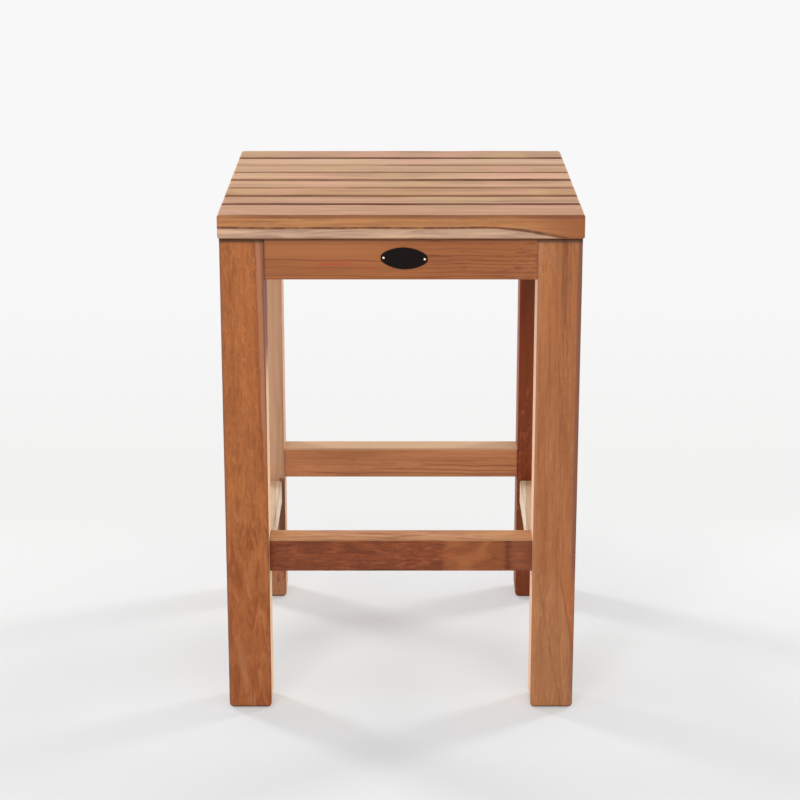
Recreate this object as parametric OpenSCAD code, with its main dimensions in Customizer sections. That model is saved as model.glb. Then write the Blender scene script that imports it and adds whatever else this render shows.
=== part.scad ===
// Slatted teak foot rest for a shower: four square legs, aprons and staggered
// stretchers joined by mortise and tenon, and a top of separate slats.
// Lengths are in millimetres. The origin is on the floor under the middle of the
// top, +Z is up, -Y is the front that carries the name plate and +X is its right.

/* [Overall size] */
// Width across the outsides of the legs
stool_w = 305; // [270:1:400]
// Depth across the outsides of the legs
stool_d = 305; // [280:1:340]
// Height from the floor to the top of the slats
stool_h = 447.5; // [360:0.5:560]

/* [Top slats] */
// Thickness of every slat
slat_t = 21; // [16:0.5:24]
// Width of the front slat
slat_front_w = 46; // [42:0.5:52]
// Width of the back slat
slat_back_w = 38.5; // [30:0.5:48]
// Least open gap between two slats
slat_gap = 4; // [2:0.5:7]
// How far the top stands out past the legs on every side
top_overhang = 1.5; // [0:0.5:8]
// Rounding of the long edges of a slat
slat_ease = 2; // [0.5:0.25:2.5]
// Rounding of the ends of a slat
slat_end_ease = 2.5; // [1:0.25:4]

/* [Legs] */
// Side of the square leg
leg_s = 37.5; // [37:0.5:46]
// Rounding of the four long edges of a leg
leg_ease = 1.6; // [0.6:0.2:1.8]
// Rounding of the bottom edges of a foot
foot_ease = 3.5; // [1:0.5:6]

/* [Aprons] */
// Height of an apron
apron_h = 35; // [32:1:56]
// Thickness of an apron
apron_t = 22; // [18:0.5:25]
// How far an apron lies behind the outer face of the legs
apron_setback = 2; // [2:0.5:6]
// Thickness of an apron's tenon
apron_tenon_t = 8; // [6:0.5:10]
// Shoulder under an apron's tenon
apron_shoulder = 4; // [2:0.5:8]
// Height of the shallow haunch above an apron's tenon
haunch_h = 8; // [5:0.5:12]
// Reach of the haunch into the leg
haunch_l = 6; // [3:0.5:9]

/* [Stretchers] */
// Height of the front and back stretchers
stretcher_h = 29.5; // [22:0.5:36]
// Height of the side stretchers
side_stretcher_h = 22.5; // [18:0.5:36]
// Thickness of a stretcher
stretcher_t = 25; // [20:0.5:27]
// How far a stretcher lies behind the outer face of the legs
stretcher_setback = 9.5; // [2:0.5:10]
// Height of the underside of the front and back stretchers
stretcher_z = 127; // [100:1:200]
// Drop from there to the top of the side stretchers, so that their tenons pass clear
stagger_gap = 3; // [2:0.5:30]
// Thickness of a stretcher's tenon
stretcher_tenon_t = 10; // [8:0.5:14]
// Reach of a stretcher's tenon into the leg
stretcher_tenon_l = 26; // [16:0.5:30]
// Shoulder above and below a stretcher's tenon
stretcher_shoulder = 4; // [2:0.5:6]
// Chamfer round the tip of a stretcher's tenon
tenon_chamfer = 1; // [0.5:0.25:2]

/* [Rails] */
// Rounding of the long edges of aprons and stretchers
rail_ease = 1.2; // [0.5:0.1:2]
// Width of the battens that the slats are screwed to
batten_w = 18; // [14:0.5:24]
// Height of the battens
batten_h = 20; // [16:0.5:28]
// Free space between a batten's end and the leg
batten_end_gap = 0.5; // [0.2:0.1:3]

/* [Screws and dowels] */
// Diameter of a screw's shank
screw_d = 4; // [3:0.5:5]
// Diameter of a screw's countersunk head
screw_head_d = 8; // [7:0.5:9]
// Length of a screw
screw_l = 25; // [22:0.5:27]
// Depth of the counterbore that hides a screw's head
counterbore = 5; // [3:0.5:6]
// Diameter of the dowels under the front and back slats
dowel_d = 8; // [6:0.5:9]
// Reach of a dowel into the slat
dowel_up = 10; // [7:0.5:12]
// Reach of a dowel into the apron
dowel_down = 15; // [10:0.5:22]
// Distance between the two dowels of one slat
dowel_spread = 150; // [100:1:170]

/* [Name plate] */
// Length of the oval plate
plate_w = 39.6; // [34:0.2:46]
// Height of the oval plate
plate_h = 18.6; // [14:0.2:22]
// Radius of the plate's rounded ends
plate_end_r = 5; // [3.5:0.5:6]
// Thickness of the plate
plate_t = 1; // [0.6:0.1:1.6]
// How far the plate sits to the right of the middle
plate_x = 2.7; // [-20:0.1:20]
// How far the plate sits above the middle of the apron
plate_rise = 1; // [-3:0.1:3]
// Turn of the plate, clockwise from the front, in degrees
plate_tilt = 2; // [-5:0.5:5]
// Distance between the two pins
pin_spread = 34.6; // [28:0.2:34.8]
// Diameter of a pin's domed head
pin_head_d = 2.4; // [1.8:0.1:3]
// Height of a pin's domed head
pin_head_h = 0.8; // [0.5:0.1:0.8]
// Diameter of a pin's shank
pin_d = 1.2; // [0.8:0.1:1.4]
// Length of a pin behind its head
pin_l = 8; // [5:0.5:12]

/* [Fits] */
// Glue room round a tenon in its mortise
joint_gap = 0.2; // [0.1:0.05:0.4]
// Room round a screw, dowel or pin in its hole
pilot_gap = 0.12; // [0.05:0.01:0.25]
// Room beyond the end of a tenon, screw, dowel or pin
end_gap = 0.8; // [0.3:0.1:1.5]

/* [Hidden] */
$fn = 48;
over = 1;
slat_count = 8;
leg_h = stool_h - slat_t;
apron_z = leg_h - apron_h;
side_stretcher_z = stretcher_z - stagger_gap - side_stretcher_h;
top_w = stool_w + 2 * top_overhang;
top_d = stool_d + 2 * top_overhang;
span_w = stool_w - 2 * leg_s;
span_d = stool_d - 2 * leg_s;
front_turn = 0;
right_turn = 90;
back_turn = 180;
left_turn = -90;
// Middle lines of the rails, measured from the middle of the stool
apron_in = apron_setback + apron_t / 2;
stretcher_in = stretcher_setback + stretcher_t / 2;
batten_x = stool_w / 2 - apron_setback - apron_t - batten_w / 2;
batten_z = leg_h - batten_h;
batten_l = span_d - 2 * batten_end_gap;
// Reach of the mitred apron tenon on its long side, to the mitre with its neighbour
tenon_reach = leg_s - apron_in + apron_tenon_t / 2 - joint_gap / 2;
// The middle slats share what is left of the depth, planed to a tenth of a
// millimetre, and the gaps take up the rest
mid_count = slat_count - 2;
mid_room = top_d - slat_front_w - slat_back_w;
slat_mid_w = floor((mid_room - (slat_count - 1) * slat_gap) / mid_count * 10) / 10;
open_gap = (mid_room - mid_count * slat_mid_w) / (slat_count - 1);
mid_pitch = slat_mid_w + open_gap;
// Width and middle line of slat number i from the front
function slat_w(i) = i == 1 ? slat_front_w : i == slat_count ? slat_back_w : slat_mid_w;
function slat_y(i) = i == 1
    ? -(top_d - slat_front_w) / 2
    : i == slat_count
        ? (top_d - slat_back_w) / 2
        : -top_d / 2 + slat_front_w - slat_mid_w / 2 + (i - 1) * mid_pitch;
// Middle of the gap behind slat number i
function gap_y(i) = slat_y(i) + slat_w(i) / 2 + open_gap / 2;
// Slats that a screw holds at each end, and gaps that a batten screw lies under
screwed_slats = [2 : slat_count - 1];
batten_screw_gaps = [2 : 2 : slat_count - 2];
batten_screw_z = leg_h - batten_h / 2;
screw_head_h = (screw_head_d - screw_d) / 2;
screw_tip_l = 3;
screw_tip_d = 1;
counterbore_d = screw_head_d + 1;
dowel_chamfer = 1;
pin_tip_l = 1.5;
plate_y = -(stool_d / 2 - apron_setback);
plate_z = apron_z + apron_h / 2 + plate_rise;

// Outline of a squared bar with rounded edges, centred on the origin
module eased_outline(w, h, r) {
    square([w - 2 * r, h], center = true);
    square([w, h - 2 * r], center = true);
    for (x = [-1, 1], y = [-1, 1])
        translate([x * (w / 2 - r), y * (h / 2 - r)])
            circle(r = r);
}

// Bar along X with its underside at z = 0 and rounded long edges
module bar(length, w, h, r) {
    translate([0, 0, h / 2])
        rotate([90, 0, 90])
            linear_extrude(length, center = true)
                eased_outline(w, h, r);
}

// Screw that points up, with the top of its head at z = 0
module screw(room = 0) {
    r = screw_d / 2 + room;
    head_r = screw_head_d / 2 + room;
    cylinder(h = screw_head_h, r1 = head_r, r2 = r);
    cylinder(h = screw_l - screw_tip_l, r = r);
    translate([0, 0, screw_l - screw_tip_l])
        cylinder(h = screw_tip_l, r1 = r, r2 = screw_tip_d / 2 + room);
}

// Hole for a screw, with the counterbore that the head goes in through
module screw_hole() {
    screw(pilot_gap);
    cylinder(h = screw_l + end_gap, r = screw_tip_d / 2 + pilot_gap);
    translate([0, 0, -counterbore - over])
        cylinder(h = counterbore + over, d = counterbore_d);
}

// Places of the screws that go up through the battens into the slats
module at_slat_screws(side) {
    for (i = screwed_slats)
        translate([side * batten_x, slat_y(i), batten_z + counterbore])
            children();
}

// Places of the screws that go out through a batten into its apron
module at_batten_screws(side) {
    for (i = batten_screw_gaps)
        translate([side * (batten_x - batten_w / 2 + counterbore), gap_y(i), batten_screw_z])
            rotate([0, side * 90, 0])
                children();
}

// Places of the dowels on the top of the front or back apron
module at_dowels(side) {
    for (x = [-1, 1])
        translate([x * dowel_spread / 2, side * (stool_d / 2 - apron_in), leg_h])
            children();
}

module dowel() {
    r = dowel_d / 2;
    translate([0, 0, -dowel_down]) {
        cylinder(h = dowel_chamfer, r1 = r - dowel_chamfer, r2 = r);
        translate([0, 0, dowel_chamfer])
            cylinder(h = dowel_down + dowel_up - 2 * dowel_chamfer, r = r);
    }
    translate([0, 0, dowel_up - dowel_chamfer])
        cylinder(h = dowel_chamfer, r1 = r, r2 = r - dowel_chamfer);
}

module dowel_hole() {
    translate([0, 0, -dowel_down - end_gap])
        cylinder(h = dowel_down + dowel_up + 2 * end_gap, r = dowel_d / 2 + pilot_gap);
}

// Turns a rail that faces -Y to its own side of the stool
module on_side(turn, distance) {
    rotate([0, 0, turn])
        translate([0, -distance, 0])
            children();
}

// Moves a tenon that points along +X to one end of its rail
module at_rail_end(end, span) {
    translate([end * span / 2, 0, 0])
        mirror([end < 0 ? 1 : 0, 0, 0])
            children();
}

// Haunched apron tenon from the shoulder at x = 0 along +X. Its end is mitred at
// 45 degrees, long on the outer side, so that the two tenons in a leg meet.
module apron_tenon(room = 0) {
    half_t = apron_tenon_t / 2 + room;
    root = room > 0 ? -over : 0;
    rise = room > 0 ? over : 0;
    translate([0, 0, apron_shoulder - room])
        linear_extrude(apron_h - apron_shoulder - haunch_h + 2 * room)
            polygon([
                [root, -half_t],
                [tenon_reach + 3 * room, -half_t],
                [tenon_reach - apron_tenon_t + room, half_t],
                [root, half_t]
            ]);
    translate([root, -half_t, apron_h - haunch_h - room])
        cube([haunch_l + room - root, 2 * half_t, haunch_h + room + rise]);
}

// Tenon of a stretcher of this height, from the shoulder at x = 0 along +X, with a
// chamfered tip
module stretcher_tenon(height, room = 0) {
    half_t = stretcher_tenon_t / 2 + room;
    root = room > 0 ? -over : 0;
    reach = stretcher_tenon_l + (room > 0 ? end_gap : 0);
    tip = room > 0 ? 0 : tenon_chamfer;
    translate([0, 0, stretcher_shoulder - room])
        linear_extrude(height - 2 * stretcher_shoulder + 2 * room)
            polygon([
                [root, -half_t],
                [reach - tip, -half_t],
                [reach, -half_t + tip],
                [reach, half_t - tip],
                [reach - tip, half_t],
                [root, half_t]
            ]);
}

// Apron that faces -Y, with a tenon at each end
module apron(span) {
    bar(span, apron_t, apron_h, rail_ease);
    for (end = [-1, 1])
        at_rail_end(end, span)
            apron_tenon();
}

// Stretcher that faces -Y, with a tenon at each end
module stretcher(span, height) {
    bar(span, stretcher_t, height, rail_ease);
    for (end = [-1, 1])
        at_rail_end(end, span)
            stretcher_tenon(height);
}

// Side view of a leg, with the bottom corners of the foot rounded
module leg_outline() {
    translate([-leg_s / 2, foot_ease])
        square([leg_s, leg_h - foot_ease]);
    translate([-leg_s / 2 + foot_ease, 0])
        square([leg_s - 2 * foot_ease, 2 * foot_ease]);
    for (x = [-1, 1])
        translate([x * (leg_s / 2 - foot_ease), foot_ease])
            circle(r = foot_ease);
}

module leg_blank() {
    intersection() {
        linear_extrude(leg_h)
            eased_outline(leg_s, leg_s, leg_ease);
        rotate([90, 0, 0])
            linear_extrude(leg_s + 2 * over, center = true)
                leg_outline();
        rotate([90, 0, 90])
            linear_extrude(leg_s + 2 * over, center = true)
                leg_outline();
    }
}

// Front left leg with its four mortises. The others are its mirror images.
module leg() {
    difference() {
        translate([-(stool_w - leg_s) / 2, -(stool_d - leg_s) / 2, 0])
            leg_blank();
        translate([0, 0, apron_z]) {
            on_side(front_turn, stool_d / 2 - apron_in)
                at_rail_end(-1, span_w)
                    apron_tenon(joint_gap);
            on_side(left_turn, stool_w / 2 - apron_in)
                at_rail_end(1, span_d)
                    apron_tenon(joint_gap);
        }
        translate([0, 0, stretcher_z])
            on_side(front_turn, stool_d / 2 - stretcher_in)
                at_rail_end(-1, span_w)
                    stretcher_tenon(stretcher_h, joint_gap);
        translate([0, 0, side_stretcher_z])
            on_side(left_turn, stool_w / 2 - stretcher_in)
                at_rail_end(1, span_d)
                    stretcher_tenon(side_stretcher_h, joint_gap);
    }
}

// Front or back apron, with the holes for its dowels
module end_apron(turn, side) {
    difference() {
        translate([0, 0, apron_z])
            on_side(turn, stool_d / 2 - apron_in)
                apron(span_w);
        at_dowels(side)
            dowel_hole();
    }
}

// Left or right apron, with the pilot holes of the batten screws
module side_apron(turn, side) {
    difference() {
        translate([0, 0, apron_z])
            on_side(turn, stool_w / 2 - apron_in)
                apron(span_d);
        at_batten_screws(side)
            screw_hole();
    }
}

module batten(side) {
    difference() {
        translate([side * batten_x, 0, batten_z])
            rotate([0, 0, 90])
                bar(batten_l, batten_w, batten_h, rail_ease);
        at_slat_screws(side)
            screw_hole();
        at_batten_screws(side)
            screw_hole();
    }
}

// Slat number i from the front, with all its edges and ends rounded
module slat(i) {
    difference() {
        translate([0, slat_y(i), leg_h])
            intersection() {
                bar(top_w, slat_w(i), slat_t, slat_ease);
                translate([0, 0, slat_t / 2])
                    rotate([90, 0, 0])
                        linear_extrude(slat_w(i) + 2 * over, center = true)
                            eased_outline(top_w, slat_t, slat_end_ease);
                linear_extrude(slat_t)
                    eased_outline(top_w, slat_w(i), slat_end_ease);
            }
        for (side = [-1, 1])
            at_slat_screws(side)
                screw_hole();
        for (side = [-1, 1])
            at_dowels(side)
                dowel_hole();
    }
}

// Oval of four arcs that run smoothly into each other
module oval(w, h, end_r) {
    end_x = w / 2 - end_r;
    rise = h / 2 - end_r;
    drop = (end_x * end_x - rise * rise) / (2 * rise);
    side_r = h / 2 + drop;
    join_x = end_x * side_r / (side_r - end_r);
    for (x = [-1, 1])
        translate([x * end_x, 0])
            circle(r = end_r);
    intersection() {
        translate([0, -drop])
            circle(r = side_r, $fn = 96);
        translate([0, drop])
            circle(r = side_r, $fn = 96);
        square([2 * join_x, h + 2 * over], center = true);
    }
}

// Turns what points along +Z to stand out of the front of the apron, at the plate
module on_plate() {
    translate([plate_x, plate_y, plate_z])
        rotate([90, plate_tilt, 0])
            children();
}

module at_pins() {
    on_plate()
        for (x = [-1, 1])
            translate([x * pin_spread / 2, 0, plate_t])
                children();
}

module pin_hole() {
    translate([0, 0, -pin_l - end_gap])
        cylinder(h = pin_l + end_gap + over, r = pin_d / 2 + pilot_gap);
}

module leg_front_left() {
    color("#b07a4c")
        leg();
}

module leg_front_right() {
    color("#b3835a")
        mirror([1, 0, 0])
            leg();
}

module leg_back_left() {
    color("#bd8f66")
        mirror([0, 1, 0])
            leg();
}

module leg_back_right() {
    color("#7d4a31")
        rotate([0, 0, 180])
            leg();
}

module apron_front() {
    color("#a9683f")
        difference() {
            end_apron(front_turn, -1);
            at_pins()
                pin_hole();
        }
}

module apron_back() {
    color("#a9683f")
        end_apron(back_turn, 1);
}

module apron_left() {
    color("#b07a4c")
        side_apron(left_turn, -1);
}

module apron_right() {
    color("#b07a4c")
        side_apron(right_turn, 1);
}

module stretcher_front() {
    color("#93502f")
        translate([0, 0, stretcher_z])
            on_side(front_turn, stool_d / 2 - stretcher_in)
                stretcher(span_w, stretcher_h);
}

module stretcher_back() {
    color("#b07a4c")
        translate([0, 0, stretcher_z])
            on_side(back_turn, stool_d / 2 - stretcher_in)
                stretcher(span_w, stretcher_h);
}

module stretcher_left() {
    color("#d9b48c")
        translate([0, 0, side_stretcher_z])
            on_side(left_turn, stool_w / 2 - stretcher_in)
                stretcher(span_d, side_stretcher_h);
}

module stretcher_right() {
    color("#d9b48c")
        translate([0, 0, side_stretcher_z])
            on_side(right_turn, stool_w / 2 - stretcher_in)
                stretcher(span_d, side_stretcher_h);
}

module batten_left() {
    color("#b07a4c")
        batten(-1);
}

module batten_right() {
    color("#b07a4c")
        batten(1);
}

module slat_1() {
    color("#c08650")
        slat(1);
}

module slat_2() {
    color("#d0a587")
        slat(2);
}

module slat_3() {
    color("#cfa085")
        slat(3);
}

module slat_4() {
    color("#cc9c7a")
        slat(4);
}

module slat_5() {
    color("#d3a583")
        slat(5);
}

module slat_6() {
    color("#d6a98a")
        slat(6);
}

module slat_7() {
    color("#d2a985")
        slat(7);
}

module slat_8() {
    color("#c99c7c")
        slat(8);
}

module slat_screws() {
    color("#b8b9bb")
        for (side = [-1, 1])
            at_slat_screws(side)
                screw();
}

module batten_screws() {
    color("#b8b9bb")
        for (side = [-1, 1])
            at_batten_screws(side)
                screw();
}

module top_dowels() {
    color("#d9b48c")
        for (side = [-1, 1])
            at_dowels(side)
                dowel();
}

module name_plate() {
    color("#1d1516")
        difference() {
            on_plate()
                linear_extrude(plate_t)
                    oval(plate_w, plate_h, plate_end_r);
            at_pins()
                pin_hole();
        }
}

// Domed pins that hold the plate
module plate_pins() {
    dome_r = (pin_head_d * pin_head_d / 4 + pin_head_h * pin_head_h) / (2 * pin_head_h);
    color("#caa56a")
        at_pins() {
            intersection() {
                translate([0, 0, pin_head_h - dome_r])
                    sphere(r = dome_r);
                cylinder(h = pin_head_h + over, d = pin_head_d);
            }
            translate([0, 0, -pin_l]) {
                cylinder(h = pin_tip_l, r1 = pin_d / 4, r2 = pin_d / 2);
                translate([0, 0, pin_tip_l])
                    cylinder(h = pin_l - pin_tip_l, d = pin_d);
            }
        }
}

leg_front_left();
leg_front_right();
leg_back_left();
leg_back_right();
apron_front();
apron_back();
apron_left();
apron_right();
stretcher_front();
stretcher_back();
stretcher_left();
stretcher_right();
batten_left();
batten_right();
slat_1();
slat_2();
slat_3();
slat_4();
slat_5();
slat_6();
slat_7();
slat_8();
slat_screws();
batten_screws();
top_dowels();
name_plate();
plate_pins();
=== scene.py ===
"""Slatted teak foot rest for a shower, dressed around its packed construction."""

import math

import bmesh
import bpy
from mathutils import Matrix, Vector


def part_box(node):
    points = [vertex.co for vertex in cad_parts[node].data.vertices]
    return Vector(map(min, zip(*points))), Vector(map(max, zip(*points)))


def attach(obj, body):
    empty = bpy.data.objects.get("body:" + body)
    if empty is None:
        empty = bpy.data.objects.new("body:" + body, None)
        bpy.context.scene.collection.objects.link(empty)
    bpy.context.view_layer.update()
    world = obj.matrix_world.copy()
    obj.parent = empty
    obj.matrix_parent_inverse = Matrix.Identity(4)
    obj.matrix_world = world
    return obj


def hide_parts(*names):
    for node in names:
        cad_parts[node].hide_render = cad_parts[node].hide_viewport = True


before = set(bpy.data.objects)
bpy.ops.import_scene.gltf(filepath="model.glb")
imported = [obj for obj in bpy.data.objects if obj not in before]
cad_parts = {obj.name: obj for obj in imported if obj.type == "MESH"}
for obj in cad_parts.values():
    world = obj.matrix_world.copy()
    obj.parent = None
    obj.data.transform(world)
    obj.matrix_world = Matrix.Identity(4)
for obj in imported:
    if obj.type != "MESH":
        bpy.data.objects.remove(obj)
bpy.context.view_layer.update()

MM = 0.001
# Turns a noise of 0 to 1, with 0.5 taken off, into about -1 to 1.
NOISE_SPREAD = 2.6
# How far apart the grain of two bars lies in the noise, for each step of their seeds.
SEED_STEP = 7.31
# Index of refraction of the bars on which the usual one would lay too much pale gloss.
LOW_GLOSS = 1.35
# Darker end grain on the rounded feet of the legs, deepened to paint the shade under the feet.
FOOT = {"end_reach": 3.8, "end_level": 0.4}
# Where the front bars go into the left leg, in millimetres from the bar's middle.
LEG_FACE = 114.0


def tone(red, green, blue):
    """A colour as a screen shows it, 0 to 255, turned to the light that it stands for."""
    def light(level):
        share = level / 255
        return share / 12.92 if share <= 0.04045 else ((share + 0.055) / 1.055) ** 2.4
    return (light(red), light(green), light(blue), 1.0)


class Value:
    """What one socket gives, so that node maths reads as an expression."""

    def __init__(self, tree, socket):
        self.tree = tree
        self.socket = socket

    def maths(self, operation, *values):
        return self.tree.node("ShaderNodeMath", {"operation": operation}, dict(enumerate(values)))

    def __add__(self, other):
        return self.maths("ADD", self, other)

    def __radd__(self, other):
        return self.maths("ADD", other, self)

    def __sub__(self, other):
        return self.maths("SUBTRACT", self, other)

    def __rsub__(self, other):
        return self.maths("SUBTRACT", other, self)

    def __mul__(self, other):
        return self.maths("MULTIPLY", self, other)

    def __rmul__(self, other):
        return self.maths("MULTIPLY", other, self)

    def __truediv__(self, other):
        return self.maths("DIVIDE", self, other)

    def __neg__(self):
        return self.maths("MULTIPLY", self, -1.0)

    def __abs__(self):
        return self.maths("ABSOLUTE", self)

    def root(self):
        return self.maths("SQRT", self)

    def fraction(self):
        return self.maths("FRACT", self)

    def tangent(self):
        return self.maths("TANGENT", self)

    def sign(self):
        return self.maths("SIGN", self)

    def above(self, other):
        return self.maths("MAXIMUM", self, other)

    def below(self, other):
        return self.maths("MINIMUM", self, other)


class Tree:
    """A node tree with one way to add a node: its type, its settings, its inputs."""

    def __init__(self, tree):
        self.tree = tree

    def node(self, kind, settings=None, inputs=None, output=0):
        made = self.tree.nodes.new(kind)
        for name, setting in (settings or {}).items():
            if name == "stops":
                self.set_stops(made.color_ramp, setting)
            else:
                setattr(made, name, setting)
        for name, value in (inputs or {}).items():
            for one in value if isinstance(value, list) else [value]:
                if isinstance(one, Value):
                    self.tree.links.new(one.socket, made.inputs[name])
                else:
                    made.inputs[name].default_value = one
        return Value(self, made.outputs[output]) if made.outputs else None

    def set_stops(self, ramp, stops):
        while len(ramp.elements) < len(stops):
            ramp.elements.new(0.5)
        for element, (position, colour) in zip(ramp.elements, stops):
            element.position = position
            element.color = colour

    def rise(self, value, start, end):
        """0 before start and 1 after end, with a soft step between them."""
        return self.node(
            "ShaderNodeMapRange",
            {"interpolation_type": "SMOOTHSTEP"},
            {"Value": value, "From Min": start, "From Max": end},
        )

    def noise(self, place, detail, curl=0.0):
        """Smooth noise at a place, bent by the curl, about -1 to 1."""
        found = self.node(
            "ShaderNodeTexNoise",
            {},
            {"Vector": place, "Scale": 1.0, "Detail": detail, "Distortion": curl},
        )
        return (found - 0.5) * NOISE_SPREAD

    def split(self, vector):
        return [
            self.node("ShaderNodeSeparateXYZ", {}, {"Vector": vector}, output=axis)
            for axis in range(3)
        ]

    def join(self, x, y, z):
        return self.node("ShaderNodeCombineXYZ", {}, {"X": x, "Y": y, "Z": z})


class Maker(Tree):
    """A Geometry Nodes tree with named inputs, run once for each piece that it makes."""

    SOCKETS = {
        float: "NodeSocketFloat",
        int: "NodeSocketInt",
        Vector: "NodeSocketVector",
        bpy.types.Material: "NodeSocketMaterial",
    }

    def __init__(self, name, **kinds):
        super().__init__(bpy.data.node_groups.new(name, "GeometryNodeTree"))
        for label, kind in kinds.items():
            self.tree.interface.new_socket(label, in_out="INPUT", socket_type=self.SOCKETS[kind])
        self.tree.interface.new_socket(
            "finish", in_out="INPUT", socket_type=self.SOCKETS[bpy.types.Material]
        )
        self.tree.interface.new_socket(
            "shape", in_out="OUTPUT", socket_type="NodeSocketGeometry"
        )
        self.entry = self.tree.nodes.new("NodeGroupInput")

    def given(self, label):
        return Value(self, self.entry.outputs[label])

    def vector(self, operation, *values):
        return self.node(
            "ShaderNodeVectorMath", {"operation": operation}, dict(enumerate(values))
        )

    def end(self, shape):
        solid = self.node("GeometryNodeRealizeInstances", {}, {"Geometry": shape})
        dressed = self.node(
            "GeometryNodeSetMaterial",
            {},
            {"Geometry": solid, "Material": self.given("finish")},
        )
        self.node("NodeGroupOutput", {}, {"shape": dressed})

    def make(self, name, **values):
        """Runs the tree with these inputs and keeps what it gives as a plain mesh."""
        piece = bpy.data.objects.new(name, bpy.data.meshes.new(name))
        bpy.context.scene.collection.objects.link(piece)
        growth = piece.modifiers.new("growth", "NODES")
        growth.node_group = self.tree
        for item in self.tree.interface.items_tree:
            if item.in_out == "INPUT":
                growth[item.identifier] = values[item.name]
        bpy.context.view_layer.update()
        grown = piece.evaluated_get(bpy.context.evaluated_depsgraph_get())
        mesh = bpy.data.meshes.new_from_object(grown)
        piece.modifiers.clear()
        piece.data = mesh
        mesh.name = name
        return piece


def stand_in(piece, slot, *nodes):
    """Makes a finished piece ride on the stool in place of its construction nodes."""
    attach(piece, "root")
    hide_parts(*nodes)


class Finish(Tree):
    """A material made of nodes, on the coordinates of the object."""

    def __init__(self, name):
        self.material = bpy.data.materials.new(name)
        self.material.use_nodes = True
        super().__init__(self.material.node_tree)
        self.tree.nodes.clear()
        self.place = self.node("ShaderNodeTexCoord", output="Object")

    def mix(self, share, first, second, blend="MIX"):
        """Colour that goes from the first to the second as the share goes from 0 to 1."""
        return self.node(
            "ShaderNodeMix",
            {"data_type": "RGBA", "blend_type": blend},
            {0: share, 6: first, 7: second},
            output=2,
        )

    def speckle(self, scale):
        """Even noise, 0 to 1, as fine as the scale says."""
        return self.node(
            "ShaderNodeTexNoise", {}, {"Vector": self.place, "Scale": scale, "Detail": 2.0}
        )

    def surface(self, colour, roughness, height, depth, **fixed):
        """Ends the material in a Principled surface. Height is 0 to 1, over a depth in metres."""
        normal = self.node(
            "ShaderNodeBump", {}, {"Height": height, "Distance": depth, "Strength": 1.0}
        )
        inputs = {"Base Color": colour, "Roughness": roughness, "Normal": normal}
        inputs.update(fixed)
        shader = self.node("ShaderNodeBsdfPrincipled", {}, inputs)
        self.node("ShaderNodeOutputMaterial", {}, {"Surface": shader})
        return self.material


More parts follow.
